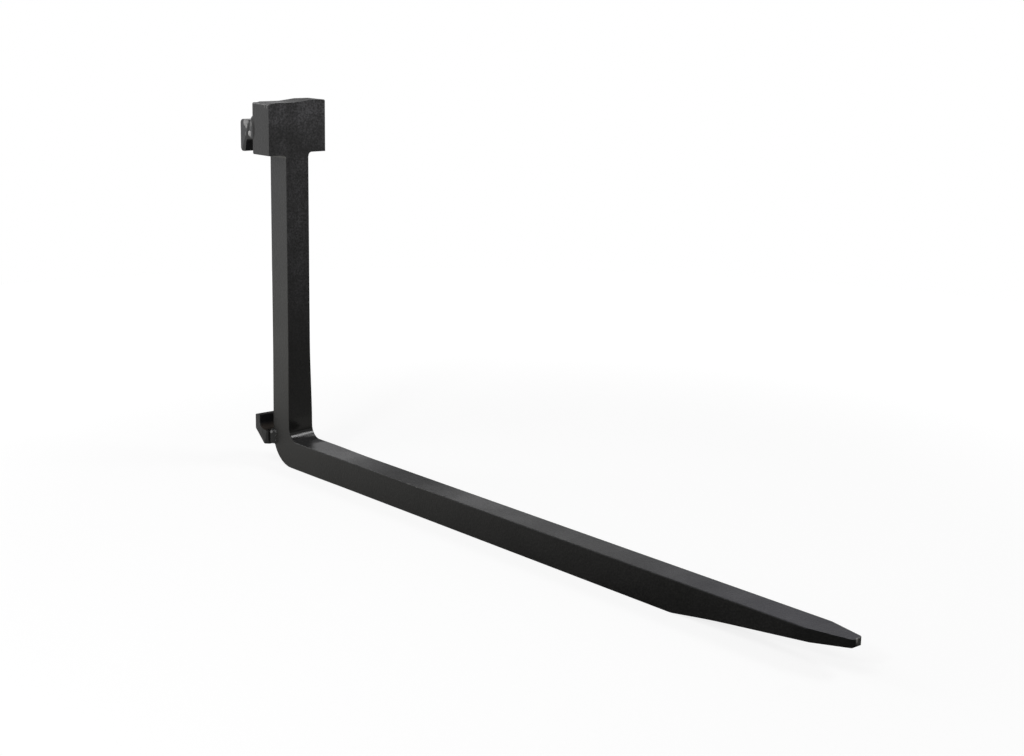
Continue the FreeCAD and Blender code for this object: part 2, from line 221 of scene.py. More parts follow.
# Colours of the paint, where it is thick and thin, and of what shows on it and through it
ARM_THICK, ARM_THIN = (0.0045, 0.0043, 0.0040, 1), (0.0095, 0.0092, 0.0086, 1)
HOOK_THICK, HOOK_THIN = (0.007, 0.007, 0.008, 1), (0.019, 0.019, 0.020, 1)
WELD_THICK, WELD_THIN = (0.007, 0.007, 0.007, 1), (0.018, 0.018, 0.018, 1)
# Darkest colour: painted shade on the tip's tapered sides and in the lower hook's crevices, and the
# darkened rim
DARKEST = (0.001, 0.001, 0.001, 1)
SPECKLE_GREY = (0.036, 0.035, 0.031, 1)
SCALE_GREY = (0.090, 0.088, 0.093, 1)
DUST_GREY = (0.055, 0.056, 0.066, 1)
TIP_BLUISH = (0.013, 0.012, 0.023, 1)
ARM_EDGE_GREY = (0.095, 0.094, 0.092, 1)
HOOK_EDGE_GREY = (0.11, 0.11, 0.108, 1)
WELD_EDGE_GREY = (0.22, 0.218, 0.215, 1)
UPPER_HOOK_GREY = (0.036, 0.036, 0.037, 1)
DIRT_BROWN = (0.050, 0.041, 0.034, 1)
# Bare steel, also used for painted highlights on the tip's end, the hooks' ends and the welds
ARM_RUBBED_HIGHLIGHT_STEEL = (0.43, 0.42, 0.40, 1)
HOOK_BARE_HIGHLIGHT_STEEL = (0.36, 0.355, 0.35, 1)
WELD_BARE_HIGHLIGHT_STEEL = (0.58, 0.575, 0.56, 1)

# Places where the arm's paint is rubbed thin, some also a painted highlight: place, size, strength
ARM_RUBS_AND_HIGHLIGHTS = (
    # scrapes on the left side of the head, near its front corner
    ((-0.0570, -0.0473, 0.0590), (0.0040, 0.0011, 0.0042), 0.36),
    ((-0.0570, -0.0543, 0.0575), (0.0040, 0.0009, 0.0030), 0.36),
    ((-0.0570, -0.0590, 0.0622), (0.0040, 0.0012, 0.0020), 0.36),
    # nicks in the blade's upper left edge
    ((-0.02275, -0.3980, -0.5205), (0.0013, 0.0035, 0.0013), 0.16),
    ((-0.02275, -0.4190, -0.5205), (0.0013, 0.0030, 0.0013), 0.16),
    # the tip's end face, its upper edge, and a streak down its left corner, rubbed and lightened as
    # a painted highlight of the rounded nose
    ((0.0040, -1.2790, -0.5260), (0.0085, 0.0040, 0.0065), 0.27),
    ((0.0040, -1.2785, -0.5199), (0.0085, 0.0030, 0.0024), 0.24),
    ((-0.0015, -1.2790, -0.5215), (0.0026, 0.0020, 0.0055), 1.0),
)
# Strip beside the weld on the head's left side, roughened by the heat
HEAT_MARK = ((-0.0570, -0.0105, 0.0165), (0.0030, 0.0085, 0.0185))
# Bare patches, which also serve as painted highlights, on the left end of the upper hook, and the
# last one on that of the lower hook
HOOK_BARE_AND_HIGHLIGHTS = (
    ((-0.0566, 0.0130, 0.0270), (0.0060, 0.0060, 0.0060), 1.0),
    ((-0.0566, 0.0087, 0.0288), (0.0060, 0.0076, 0.0037), 0.82),
    ((-0.0566, 0.0094, 0.0222), (0.0060, 0.0030, 0.0050), 1.0),
    ((-0.0566, 0.0120, 0.0085), (0.0060, 0.0020, 0.0045), 0.25),
    ((-0.0379, -0.0018, -0.5080), (0.0020, 0.0024, 0.0017), 0.60),
)
# Painted shade in the crevices of the lower hook, beside the weld, at the slot's corner and on its
# floor
HOOK_CREVICE_SHADE = (
    ((-0.0325, -0.0110, -0.5190), (0.0022, 0.0030, 0.0160), 0.9),
    ((-0.0375, -0.0078, -0.5086), (0.0045, 0.0042, 0.0030), 1.0),
    ((-0.0305, -0.0070, -0.5100), (0.0060, 0.0032, 0.0030), 1.0),
)
# Bright places, unpainted steel that serves as painted highlights, on the upper hook's left weld,
# and on the lower hook's left weld
WELD_BARE_AND_HIGHLIGHTS = (
    ((-0.0560, 0.0004, 0.0098), (0.0060, 0.0052, 0.0056), 0.85),
    ((-0.0560, 0.0030, 0.0150), (0.0060, 0.0026, 0.0052), 0.6),
    ((-0.0570, -0.0055, 0.0265), (0.0060, 0.0015, 0.0050), 0.5),
    ((-0.0300, -0.0132, -0.5122), (0.0026, 0.0030, 0.0032), 0.52),
)
# The lower hook's slot has dirt below the first height, and its rim is dark above the second
DIRT_LEVEL = -0.493
RIM_LEVEL = -0.487

# Weld beads: pitch of their ripples, and half the length of one
RIPPLE_PITCH = 0.0020
RIPPLE_REACH = 0.0030
TOP_BEAD_LEG = 0.0090
END_RIPPLE_PITCH = 0.0032
END_RIPPLE_REACH = 0.0036
SIDE_BEAD_ON_SHANK = 0.0118
SIDE_BEAD_RUN_OFF = 0.0050
RIPPLE_TILT = 28
BEAD_FACET = 0.00035
BEAD_CROWN = 0.13
BEAD_LUMP = 0.004
FILLET_UNEVENNESS = 0.0005
END_UNEVENNESS = 0.0003
UNEVENNESS_MIDDLE = 0.6
EGG_SIDES = 32
EGG_RINGS = 20
FEWEST_RIPPLES = 3
FILLET_ROLL = 45
JOINED_WITHIN = 1e-6
# End welds of the upper hook, left one: foot of the passes along X, the way over the groove,
# each pass's half width, height and place across the groove, and the drip's size and place
PASS_FOOT_X = -0.0556
OVER_GROOVE = (0.154, 0.988, 0)
PASSES = ((0.0032, 0.0007, 0.0036), (0.0042, 0.0017, 0.0100))
DRIP_SIZE = (0.0018, 0.0050, 0.0056)
DRIP_PLACE = (-0.0549, 0.0004, 0.0095)


def grey(level):
    return (level, level, level, 1)


def select_only(obj):
    bpy.ops.object.select_all(action="DESELECT")
    obj.select_set(True)
    bpy.context.view_layer.objects.active = obj


def apply_modifiers(obj):
    select_only(obj)
    for modifier in list(obj.modifiers):
        bpy.ops.object.modifier_apply(modifier=modifier.name)


def edit_mesh(obj):
    select_only(obj)
    bpy.ops.object.mode_set(mode="EDIT")
    bpy.ops.mesh.select_all(action="SELECT")


def leave_edit():
    bpy.ops.object.mode_set(mode="OBJECT")


# Shader helpers

def add(tree, kind, **settings):
    """New node, with its settings by attribute name."""
    node = tree.nodes.new(kind)
    for name, value in settings.items():
        setattr(node, name, value)
    return node


def feed(tree, node, **values):
    """Fill a node's inputs from numbers or other sockets.

    A name is the socket's own, with _ for a space, or _ and its number."""
    for name, value in values.items():
        key = int(name[1:]) if name[1:].isdigit() else name.replace("_", " ")
        socket = node.inputs[key]
        if isinstance(value, bpy.types.NodeSocket):
            tree.links.new(value, socket)
        else:
            socket.default_value = value
    return node


def maths(tree, operation, first, second=0.0):
    node = add(tree, "ShaderNodeMath", operation=operation)
    return feed(tree, node, _0=first, _1=second).outputs[0]


def remap(tree, value, low, high, to_low=0.0, to_high=1.0, smooth=True):
    kind = "SMOOTHSTEP" if smooth else "LINEAR"
    node = add(tree, "ShaderNodeMapRange", interpolation_type=kind)
    feed(tree, node, Value=value, From_Min=low, From_Max=high, To_Min=to_low, To_Max=to_high)
    return node.outputs["Result"]


def blend_colours(tree, factor, first, second):
    node = add(tree, "ShaderNodeMix", data_type="RGBA")
    feed(tree, node, _0=factor, _6=first, _7=second)
    return node.outputs[2]


def noise(tree, place, scale, detail=2.0, roughness=0.5, distortion=0.0):
    node = add(tree, "ShaderNodeTexNoise")
    feed(tree, node,
         Vector=place, Scale=scale, Detail=detail, Roughness=roughness, Distortion=distortion)
    return node.outputs["Fac"]


def stretched(tree, place, scale):
    node = add(tree, "ShaderNodeMapping")
    return feed(tree, node, Vector=place, Scale=scale).outputs["Vector"]


def spot(tree, place, centre, size):
    """Mask of an egg-shaped spot, 1 at its centre and fading out at its edge."""
    moved = add(tree, "ShaderNodeVectorMath", operation="SUBTRACT")
    feed(tree, moved, _0=place, _1=centre)
    scaled = add(tree, "ShaderNodeVectorMath", operation="DIVIDE")
    feed(tree, scaled, _0=moved.outputs["Vector"], _1=size)
    away = add(tree, "ShaderNodeVectorMath", operation="LENGTH")
    feed(tree, away, _0=scaled.outputs["Vector"])
    return remap(tree, away.outputs["Value"], *SPOT_FADE, 1.0, 0.0)


def spots(tree, place, patches):
    """Mask of several spots, each with its own strength."""
    total = 0.0
    for centre, size, strength in patches:
        one = maths(tree, "MULTIPLY", spot(tree, place, centre, size), strength)
        total = maths(tree, "MAXIMUM", one, total)
    return total


def new_group(name, inputs, outputs):
    """Node group with named inputs (name: default) and outputs, and its two end nodes."""
    tree = bpy.data.node_groups.new(name, "ShaderNodeTree")
    for label, value in inputs.items():
        kind = "NodeSocketVector" if value is None else "NodeSocketFloat"
        socket = tree.interface.new_socket(label, in_out="INPUT", socket_type=kind)
        if value is not None:
            socket.default_value = value
    for label in outputs:
        tree.interface.new_socket(label, in_out="OUTPUT", socket_type="NodeSocketFloat")
    return tree, add(tree, "NodeGroupInput").outputs, add(tree, "NodeGroupOutput").inputs


def use_group(tree, group, **values):
    node = add(tree, "ShaderNodeGroup", node_tree=group)
    return feed(tree, node, **values).outputs


# Shared effects

def edge_wear_group():
    """Mask of the outer edges where paint is thin, broken up along their length."""
    tree, given, result = new_group(
        "edge wear", {"Place": None, "Width": 0.0012, "Breakup": 60.0}, ["Mask"])
    rounded = add(tree, "ShaderNodeBevel", samples=8)
    feed(tree, rounded, Radius=given["Width"])
    flat = add(tree, "ShaderNodeNewGeometry")
    same = add(tree, "ShaderNodeVectorMath", operation="DOT_PRODUCT")
    feed(tree, same, _0=rounded.outputs["Normal"], _1=flat.outputs["Normal"])
    edge = remap(tree, same.outputs["Value"], *EDGE_TURN)
    patches = noise(tree, given["Place"], given["Breakup"], 4.0, 0.6)
    patches = remap(tree, patches, *WEAR_SPREAD)
    tree.links.new(maths(tree, "MULTIPLY", edge, patches), result["Mask"])
    return tree


def paint_skin_group():
    """Unevenness of sprayed paint: peel, fine speckle and patches of gloss."""
    tree, given, result = new_group(
        "paint skin", {"Place": None, "Speckle": 300.0, "Patches": 14.0},
        ["Height", "Speckle", "Patches"])
    speckle = noise(tree, given["Place"], given["Speckle"], 3.0, 0.6)
    tree.links.new(speckle, result["Height"])
    tree.links.new(remap(tree, speckle, *SPECKLE_SPREAD), result["Speckle"])
    tree.links.new(noise(tree, given["Place"], given["Patches"], 4.0, 0.6), result["Patches"])
    return tree


def scale_grain_group():
    """Coarse grain of scaled, shot-blasted steel under the paint, with pale specks."""
    tree, given, result = new_group(
        "scale grain", {"Place": None, "Grain": 290.0, "Clumps": 42.0},
        ["Height", "Specks", "Clumps"])
    fine = noise(tree, given["Place"], given["Grain"], 4.0, 0.65)
    clumps = noise(tree, given["Place"], given["Clumps"], 3.0, 0.6)
    both = maths(tree, "ADD", fine, maths(tree, "MULTIPLY", clumps, CLUMP_RELIEF))
    tree.links.new(both, result["Height"])
    tree.links.new(remap(tree, fine, *GRAIN_SPREAD, *SPECK_SHARE), result["Specks"])
    tree.links.new(remap(tree, clumps, *CLUMP_SPREAD), result["Clumps"])
    return tree


def cut_lines_group():
    """Fine parallel lines that the cutting flame leaves across the thickness of a plate."""
    tree, given, result = new_group("cut lines", {"Place": None, "Size": 1.0}, ["Height"])
    place = add(tree, "ShaderNodeVectorMath", operation="SCALE")
    feed(tree, place, _0=given["Place"], Scale=given["Size"])
    across = stretched(tree, place.outputs["Vector"], CUT_LINES_PER_METRE)
    tree.links.new(
        noise(tree, across, 1.0, distortion=CUT_LINE_WAVER), result["Height"])
    return tree


EDGE_WEAR = edge_wear_group()
PAINT_SKIN = paint_skin_group()
SCALE_GRAIN = scale_grain_group()
CUT_LINES = cut_lines_group()


def bumped(tree, height, strength, distance, below=None):
    node = add(tree, "ShaderNodeBump")
    feed(tree, node, Height=height, Strength=strength, Distance=distance)
    if below is not None:
        tree.links.new(below, node.inputs["Normal"])
    return node.outputs["Normal"]


def new_material(name):
    material = bpy.data.materials.new(name)
    material.use_nodes = True
    tree = material.node_tree
    tree.nodes.clear()
    shader = add(tree, "ShaderNodeBsdfPrincipled")
    output = add(tree, "ShaderNodeOutputMaterial")
    tree.links.new(shader.outputs[0], output.inputs["Surface"])
    return material, tree, shader


def bend_distance(tree, place):
    """Distance from the axis of the bend's inside curve."""
    across = add(tree, "ShaderNodeVectorMath", operation="MULTIPLY")
    feed(tree, across, _0=place, _1=(0, 1, 1))
    away = add(tree, "ShaderNodeVectorMath", operation="DISTANCE")
    feed(tree, away, _0=across.outputs["Vector"], _1=BEND_AXIS)
    return away.outputs["Value"]


def turned_normal(tree, bend, rightness):
    """Surface normal, with the inside of the bend turned and flattened towards the right."""
    normal = add(tree, "ShaderNodeNewGeometry").outputs["Normal"]
    height = feed(tree, add(tree, "ShaderNodeSeparateXYZ"), Vector=normal).outputs["Z"]
    flatter = remap(tree, height, *BEND_FLAT_RISE, *BEND_FLAT_TURN, smooth=False)
    turn = maths(tree, "ADD", maths(tree, "MULTIPLY", rightness, flatter), BEND_TURN)
    start = remap(tree, height, *BEND_START_RISE, *BEND_START_TURN)
    turn = maths(tree, "ADD", turn, start)
    lean = add(tree, "ShaderNodeVectorMath", operation="SCALE")
    feed(tree, lean, _0=BEND_LEAN, Scale=maths(tree, "MULTIPLY", turn, bend))
    total = add(tree, "ShaderNodeVectorMath", operation="ADD")
    feed(tree, total, _0=normal, _1=lean.outputs["Vector"])
    unit = add(tree, "ShaderNodeVectorMath", operation="NORMALIZE")
    return feed(tree, unit, _0=total.outputs["Vector"]).outputs["Vector"]


def arm_masks(tree, coords):
    """Masks of the arm's faces and stretches, by name."""
    place = coords["Object"]
    axes = feed(tree, add(tree, "ShaderNodeSeparateXYZ"), Vector=place).outputs
    facing = feed(tree, add(tree, "ShaderNodeSeparateXYZ"), Vector=coords["Normal"]).outputs
    across = maths(tree, "ABSOLUTE", facing["X"])
    from_bend = bend_distance(tree, place)
    bend = remap(tree, from_bend, *BEND_FADE, 1.0, 0.0)
    front = remap(tree, maths(tree, "ABSOLUTE", facing["Y"]), *FACES_FRONT)
    high = remap(tree, axes["Z"], *GRAIN_AND_LIGHT_RISE)
    return {
        "upward": remap(tree, facing["Z"], *FACES_UP),
        "sideways": remap(tree, across, *FACES_SIDEWAYS),
        "high": high,
        "grainy": maths(tree, "MULTIPLY", front, high),
        "head": remap(tree, axes["Z"], *HEAD_RISE),
        "bend": maths(tree, "MULTIPLY", bend, remap(tree, across, *BEND_SIDE_FACES, 1.0, 0.0)),
        "beyond bend": remap(tree, from_bend, *WAVES_RISE),
        "below glint": remap(tree, facing["Z"], *GLINT_FADE, *GLINT_LEFT),
        "rightness": remap(tree, axes["X"], -BEND_HALF_WIDTH, BEND_HALF_WIDTH, smooth=False),
    }, axes


def arm_colour(tree, place, axes, at, skin, grain):
    """Black paint with speckle, scale showing through on the front and lighter towards the top as
    painted light, dust, wear, rubs with a painted highlight on the tip's end, and painted shade on
    the tip's sides.
    """
    colour = blend_colours(tree, skin["Patches"], ARM_THICK, ARM_THIN)
    colour = blend_colours(
        tree, maths(tree, "MULTIPLY", skin["Speckle"], SPECKLE_SHARE), colour, SPECKLE_GREY)
    # painted shade on the tip's tapered sides
    painted_side_shade = remap(tree, axes["Y"], *PAINTED_SIDE_SHADE_RISE, 0.0, PAINTED_SIDE_SHADE_SHARE)
    colour = blend_colours(
        tree, maths(tree, "MULTIPLY", at["sideways"], painted_side_shade), colour, DARKEST)

    specks = maths(tree, "MULTIPLY", grain["Specks"], at["grainy"])
    blotches = noise(tree, place, BLOTCHES_PER_METRE)
    blotches = remap(tree, blotches, *BLOTCH_SPREAD, *BLOTCH_SHARE)
    clumps = remap(tree, grain["Clumps"], 0.0, 1.0, *CLUMP_SHARE)
    # painted light: the scale specks get lighter up the head's front, and grow up the shank through
    # the grainy mask
    painted_light_up = remap(tree, axes["Z"], *PAINTED_LIGHT_RISE, *PAINTED_LIGHT_SHARE)
    for share in (clumps, blotches, painted_light_up):
        specks = maths(tree, "MULTIPLY", specks, share)
    colour = blend_colours(tree, specks, colour, SCALE_GREY)

    dusty = maths(tree, "MULTIPLY", at["upward"], skin["Speckle"])
    colour = blend_colours(tree, maths(tree, "MULTIPLY", dusty, DUST_SHARE), colour, DUST_GREY)
    bluish = remap(tree, axes["Y"], *BLUISH_RISE, 0.0, BLUISH_SHARE)
    colour = blend_colours(
        tree, maths(tree, "MULTIPLY", at["upward"], bluish), colour, TIP_BLUISH)

    wear = use_group(tree, EDGE_WEAR, Place=place)
    worn = remap(tree, at["head"], 0.0, 1.0, *ARM_WEAR_SHARE)
    worn = maths(tree, "MULTIPLY", wear["Mask"], worn)
    colour = blend_colours(tree, worn, colour, ARM_EDGE_GREY)
    # rubs, and on the tip's end a painted highlight shown as rubbed steel
    through = remap(tree, skin["Height"], *PEEL_SPREAD, *ARM_RUB_HIGHLIGHT_SHARE)
    rubbed_and_highlight = maths(tree, "MULTIPLY", spots(tree, place, ARM_RUBS_AND_HIGHLIGHTS), through)
    return blend_colours(tree, rubbed_and_highlight, colour, ARM_RUBBED_HIGHLIGHT_STEEL)


def arm_gloss(tree, place, axes, at, skin):
    """Roughness of the arm's paint, least in the inside of the bend."""
    gloss = remap(tree, skin["Patches"], *PATCH_SPREAD, *ARM_GLOSS, smooth=False)
    gloss = maths(tree, "ADD", gloss, maths(tree, "MULTIPLY", at["grainy"], GRAIN_ROUGHER))
    for start, middle, end, rougher in BLADE_STRETCHES:
        rise, fall = remap(tree, axes["Y"], start, middle), remap(tree, axes["Y"], end, middle)
        stretch = maths(tree, "MULTIPLY", maths(tree, "MULTIPLY", rise, fall), at["upward"])
        gloss = maths(tree, "ADD", gloss, maths(tree, "MULTIPLY", stretch, rougher))
    uneven = remap(tree, axes["X"], *HEAD_TOP_SPAN, 0.0, HEAD_TOP_ROUGHER)
    head_top = maths(tree, "MULTIPLY", at["head"], at["upward"])
    heated = spot(tree, place, *HEAT_MARK)
    high_side = maths(tree, "MULTIPLY", at["high"], at["sideways"])
    smoother = remap(tree, at["rightness"], 0.0, 1.0, *BEND_SMOOTHER)
    smoother = maths(tree, "MULTIPLY", at["bend"], smoother)
    gloss = maths(tree, "ADD", gloss, maths(tree, "MULTIPLY", head_top, uneven))
    gloss = maths(tree, "ADD", gloss, maths(tree, "MULTIPLY", heated, HEAT_ROUGHER))
    gloss = maths(tree, "SUBTRACT", gloss, maths(tree, "MULTIPLY", high_side, HIGH_SIDE_SMOOTHER))
    return maths(tree, "SUBTRACT", gloss, maths(tree, "MULTIPLY", smoother, at["below glint"]))


def arm_relief(tree, place, at, skin, grain):
    """Normal of the arm's surface: long waves, cut lines on the head, grain and peel."""
    lines = use_group(tree, CUT_LINES, Place=place)
    cut = maths(tree, "MULTIPLY", at["head"], maths(tree, "MAXIMUM", at["sideways"], at["upward"]))
    normal = turned_normal(tree, at["bend"], at["rightness"])
    waves = maths(tree, "SUBTRACT", noise(tree, place, ARM_WAVES_PER_METRE), 0.5)
    waves = maths(tree, "MULTIPLY", waves, at["beyond bend"])
    normal = bumped(tree, waves, *ARM_WAVES, normal)
    normal = bumped(
        tree, maths(tree, "MULTIPLY", lines["Height"], cut), *ARM_CUT_LINES, normal)
    normal = bumped(
        tree, maths(tree, "MULTIPLY", grain["Height"], at["grainy"]), *ARM_GRAIN, normal)
    peel = maths(tree, "SUBTRACT", skin["Height"], 0.5)
    left = remap(tree, at["beyond bend"], 0.0, 1.0, PEEL_IN_BEND, 1.0)
    return bumped(tree, maths(tree, "MULTIPLY", peel, left), *ARM_PEEL, normal)


def arm_paint():
    """Semi-matt black on the forged bar, grainy on the front of the head and upper shank."""
    material, tree, shader = new_material("arm black paint")
    coords = add(tree, "ShaderNodeTexCoord").outputs
    place = coords["Object"]
    at, axes = arm_masks(tree, coords)
    skin = use_group(tree, PAINT_SKIN, Place=place)
    grain = use_group(tree, SCALE_GRAIN, Place=place)
    feed(tree, shader,
         Base_Color=arm_colour(tree, place, axes, at, skin, grain),
         Roughness=arm_gloss(tree, place, axes, at, skin),
         Normal=arm_relief(tree, place, at, skin, grain))
    return material


def hook_colour(tree, place, facing, height, skin, crevice_shade_and_dark_rim):
    """Black paint with worn edges, unpainted steel with painted highlights on the ends, dirt in the
    lower slot, painted shade in its crevices, and a darkened rim.
    """
    wear = use_group(tree, EDGE_WEAR, Place=place, Width=0.0015, Breakup=120.0)
    colour = blend_colours(tree, skin["Patches"], HOOK_THICK, HOOK_THIN)
    colour = blend_colours(
        tree, maths(tree, "MULTIPLY", wear["Mask"], HOOK_WEAR_SHARE), colour, HOOK_EDGE_GREY)
    upper = remap(tree, height, *UPPER_HOOK_RISE, 0.0, UPPER_HOOK_SHARE)
    colour = blend_colours(tree, upper, colour, UPPER_HOOK_GREY)

    dirt = maths(
        tree, "MULTIPLY", remap(tree, facing["Z"], *SLOT_FLOOR_FACES_UP),
        remap(tree, height, RIM_LEVEL, DIRT_LEVEL))
    dirt = maths(tree, "MULTIPLY", dirt, remap(tree, skin["Patches"], *DIRT_SPREAD, *DIRT_SHARE))
    colour = blend_colours(tree, dirt, colour, DIRT_BROWN)
    # unpainted steel that also stands for painted highlights on the ends
    through = remap(tree, skin["Height"], *PEEL_SPREAD, *HOOK_BARE_HIGHLIGHT_SHARE)
    bare_and_highlight = maths(tree, "MULTIPLY", spots(tree, place, HOOK_BARE_AND_HIGHLIGHTS), through)
    colour = blend_colours(tree, bare_and_highlight, colour, HOOK_BARE_HIGHLIGHT_STEEL)
    # painted shade in the crevices, and the darkened rim
    return blend_colours(tree, crevice_shade_and_dark_rim, colour, DARKEST)


def hook_paint():
    """Thinner, glossier black on the flame-cut hooks, dull in the crevices and on the lower rim,
    with painted shade darkening the crevices.
    """
    material, tree, shader = new_material("hook black paint")
    coords = add(tree, "ShaderNodeTexCoord").outputs
    place = coords["Object"]
    facing = feed(tree, add(tree, "ShaderNodeSeparateXYZ"), Vector=coords["Normal"]).outputs
    height = feed(tree, add(tree, "ShaderNodeSeparateXYZ"), Vector=place).outputs["Z"]
    skin = use_group(tree, PAINT_SKIN, Place=place, Patches=60.0)

    # painted shade in the crevices, joined by the darkened rim
    crevice_shade = spots(tree, place, HOOK_CREVICE_SHADE)
    rim = maths(
        tree, "MULTIPLY", remap(tree, height, DIRT_LEVEL, RIM_LEVEL),
        remap(tree, height, *LOWER_HOOK_RISE))
    rim = maths(tree, "MULTIPLY", rim, remap(tree, facing["Z"], *RIM_FACES_UP))
    crevice_shade_and_dark_rim = maths(tree, "MAXIMUM", crevice_shade, rim)
    gloss = remap(tree, skin["Patches"], *PATCH_SPREAD, *HOOK_GLOSS, smooth=False)
    gloss = maths(tree, "ADD", gloss, maths(tree, "MULTIPLY", crevice_shade_and_dark_rim, CREVICE_ROUGHER))

    ends = remap(tree, maths(tree, "ABSOLUTE", facing["X"]), *FACES_SIDEWAYS)
    lines = use_group(tree, CUT_LINES, Place=place, Size=1.3)
    normal = bumped(tree, noise(tree, place, HOOK_LUMPS_PER_METRE, 3.0), *HOOK_LUMPS)
    normal = bumped(
        tree, maths(tree, "MULTIPLY", lines["Height"], ends), *HOOK_CUT_LINES, normal)
    normal = bumped(tree, skin["Height"], *HOOK_PEEL, normal)
    feed(tree, shader,
         Base_Color=hook_colour(tree, place, facing, height, skin, crevice_shade_and_dark_rim),
         Metallic=maths(tree, "MULTIPLY", crevice_shade, CREVICE_SHEEN_LOST),
         Roughness=gloss, Normal=normal)
    return material


def weld_paint():
    """Black paint run thick over the weld beads, worn to grey on the highest ripples, with painted
    highlights as unpainted steel in a few places.
    """
    material, tree, shader = new_material("weld black paint")
    place = add(tree, "ShaderNodeTexCoord").outputs["Object"]
    skin = use_group(tree, PAINT_SKIN, Place=place, Patches=200.0)
    wear = use_group(tree, EDGE_WEAR, Place=place, Width=0.0008, Breakup=260.0)
    colour = blend_colours(tree, skin["Patches"], WELD_THICK, WELD_THIN)
    colour = blend_colours(
        tree, maths(tree, "MULTIPLY", wear["Mask"], WELD_WEAR_SHARE), colour, WELD_EDGE_GREY)
    lumps = noise(tree, place, WELD_LUMPS_PER_METRE, 3.0)
    # painted highlights, shown as unpainted steel on the beads
    through = remap(tree, lumps, *PEEL_SPREAD, *WELD_BARE_HIGHLIGHT_SHARE)
    bare_and_highlight = maths(tree, "MULTIPLY", spots(tree, place, WELD_BARE_AND_HIGHLIGHTS), through)
    colour = blend_colours(tree, bare_and_highlight, colour, WELD_BARE_HIGHLIGHT_STEEL)
    gloss = remap(tree, skin["Patches"], *PATCH_SPREAD, *WELD_GLOSS, smooth=False)
    normal = bumped(tree, lumps, *WELD_LUMPS)
    feed(tree, shader, Base_Color=colour, Roughness=gloss, Normal=normal)
    return material


def floor_paint():
    """Pale floor that keeps the shadow, white to the camera and bright at the back in the paint."""
    material, tree, shader = new_material("studio floor")
    place = add(tree, "ShaderNodeTexCoord").outputs["Object"]
    middle = (0, (cad_low.y + cad_high.y) / 2, cad_low.z)
    away = add(tree, "ShaderNodeVectorMath", operation="DISTANCE")
    feed(tree, away, _0=place, _1=middle)
    rays = add(tree, "ShaderNodeLightPath").outputs
    seen = maths(tree, "MAXIMUM", rays["Is Camera Ray"], rays["Is Transmission Ray"])
    lift = remap(tree, away.outputs["Value"], *FLOOR_LIFT_RISE, *FLOOR_LIFT)
    along = add(tree, "ShaderNodeVectorMath", operation="DOT_PRODUCT")
    feed(tree, along, _0=place, _1=FLOOR_SHINE_WAY)
    shine = remap(tree, along.outputs["Value"], *FLOOR_SHINE_RISE, smooth=False)
    light = maths(
        tree, "MAXIMUM", maths(tree, "MULTIPLY", seen, lift),
        maths(tree, "MULTIPLY", rays["Is Glossy Ray"], shine))
    colour = blend_colours(tree, rays["Is Glossy Ray"], grey(FLOOR_COLOUR), grey(FLOOR_IN_PAINT))
    glow = blend_colours(tree, rays["Is Glossy Ray"], WHITE, FLOOR_TINT)
    feed(tree, shader,
         Base_Color=colour, Roughness=1.0, Specular_IOR_Level=0.0,
         Emission_Color=glow, Emission_Strength=light)
    return material


# Weld beads

def row_of_eggs(length, pitch, size, roll):
    """Overlapping eggs in a row along X, each leaning along the row and rolled about it."""
    bpy.ops.object.select_all(action="DESELECT")
    bpy.ops.mesh.primitive_uv_sphere_add(segments=EGG_SIDES, ring_count=EGG_RINGS, radius=1)
    row = bpy.context.active_object
    edit_mesh(row)
    bpy.ops.transform.resize(value=size)
    bpy.ops.transform.rotate(
        value=math.radians(RIPPLE_TILT), orient_axis="Y", center_override=(0, 0, 0))
    bpy.ops.transform.rotate(
        value=math.radians(roll), orient_axis="X", center_override=(0, 0, 0))
    bpy.ops.transform.translate(value=(size[0], 0, 0))
    leave_edit()
    run = length - 2 * size[0]
    repeat = row.modifiers.new("ripples", "ARRAY")
    repeat.use_relative_offset = False
    repeat.use_constant_offset = True
    repeat.count = max(FEWEST_RIPPLES, round(run / pitch) + 1)
    repeat.constant_offset_displace = (run / (repeat.count - 1), 0, 0)
    apply_modifiers(row)
    return row


def shift(obj, factors, offset):
    """Stretch a mesh about the origin, then move it."""
    edit_mesh(obj)
    bpy.ops.transform.resize(value=factors, center_override=(0, 0, 0))
    bpy.ops.transform.translate(value=offset)
    leave_edit()


def one_skin(obj, depth):
    """Melt overlapping shapes into one skin with the unevenness of metal that ran and froze."""
    merge = obj.modifiers.new("one skin", "REMESH")
    merge.mode = "VOXEL"
    merge.voxel_size = BEAD_FACET
    texture = bpy.data.textures.new(obj.name + " unevenness", "CLOUDS")
    texture.noise_scale = BEAD_LUMP
    uneven = obj.modifiers.new("unevenness", "DISPLACE")
    uneven.texture = texture
    uneven.strength = depth
    uneven.mid_level = UNEVENNESS_MIDDLE
    apply_modifiers(obj)


def trim(obj, place, normal):
    """Cut off what lies behind a plane and close the cut."""
    edit_mesh(obj)
    bpy.ops.mesh.bisect(plane_co=place, plane_no=normal, use_fill=True, clear_inner=True)
    leave_edit()


def settle(obj, origin, path, first_leg):
    """Put a bead made at the origin along X into its place, and leave the place in its mesh."""
    second_leg = path.cross(first_leg)
    turn = Matrix((path, first_leg, second_leg)).transposed()
    obj.matrix_world = Matrix.Translation(origin) @ turn.to_4x4()
    select_only(obj)
    bpy.ops.object.transform_apply(location=True, rotation=True, scale=True)


